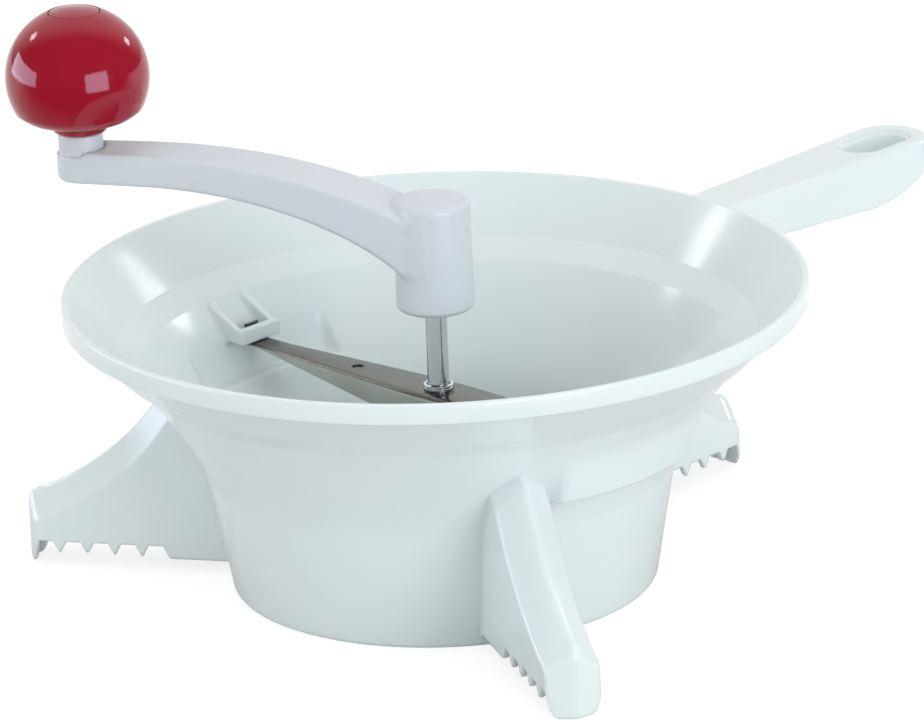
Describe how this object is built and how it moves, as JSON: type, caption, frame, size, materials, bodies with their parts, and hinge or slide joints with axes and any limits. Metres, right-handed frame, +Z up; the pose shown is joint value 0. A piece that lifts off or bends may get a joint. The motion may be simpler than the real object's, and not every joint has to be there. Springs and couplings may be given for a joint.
{
  "type": "food mill",
  "caption": "White plastic food mill with toothed feet and a handle, a sieve and sprung blade under a steel crossbar, and a hand crank with a red knob.",
  "frame": {"origin": "the middle of the whole mill's box, on the table that it stands on", "axes": "+Z is up along the shaft, +X points along the handle away from the bowl, and the crossbar lies along Y"},
  "size_m": [0.36, 0.2476, 0.187],
  "materials": {
    "white_plastic": "moulded, soft gloss",
    "crank_plastic": "moulded, satin",
    "red_plastic": "polished",
    "brushed_steel": "rolled and lightly brushed",
    "bright_steel": "turned and polished",
    "spring_steel": "drawn wire"
  },
  "bodies": {
    "base": {"bowl_drum": "white_plastic", "bowl_funnel": "white_plastic", "bowl_rim": "white_plastic", "handle": "white_plastic", "foot_handle_side": "white_plastic", "foot_left": "white_plastic", "foot_front": "white_plastic", "bracket_left": "white_plastic", "bracket_right": "white_plastic", "sieve_disc": "brushed_steel"},
    "crossbar": {"crossbar": "brushed_steel", "crossbar_bush": "bright_steel", "upper_spring_washer": "bright_steel"},
    "carrier": {"spring": "spring_steel", "lower_spring_washer": "bright_steel"},
    "crank": {"shaft": "bright_steel", "shaft_pin": "bright_steel", "blade": "brushed_steel", "blade_boss": "bright_steel", "blade_lock_ring": "spring_steel", "crank_arm": "crank_plastic", "knob_screw": "bright_steel"},
    "knob": {"knob_washer": "bright_steel", "knob": "red_plastic", "knob_cap": "red_plastic"}
  },
  "joints": [
    {"name": "crossbar_press", "type": "slide", "parent": "base", "child": "crossbar", "axis": [0, 0, 1], "range_m": [-0.006, 0], "stiffness_N_per_m": 400, "springref_m": 0.01, "deforming": ["spring"]},
    {"name": "shaft_lift", "type": "slide", "parent": "base", "child": "carrier", "axis": [0, 0, 1], "range_m": [0, 0.005], "stiffness_N_per_m": 400, "springref_m": -0.01},
    {"name": "crank_spin", "type": "hinge", "parent": "carrier", "child": "crank", "pos_m": [-0.06, -0.00105, 0.06], "axis": [0, 0, 1], "continuous": true},
    {"name": "knob_spin", "type": "hinge", "parent": "crank", "child": "knob", "pos_m": [-0.11629, 0.10049, 0.164], "axis": [0, 0, 1], "continuous": true}
  ]
}
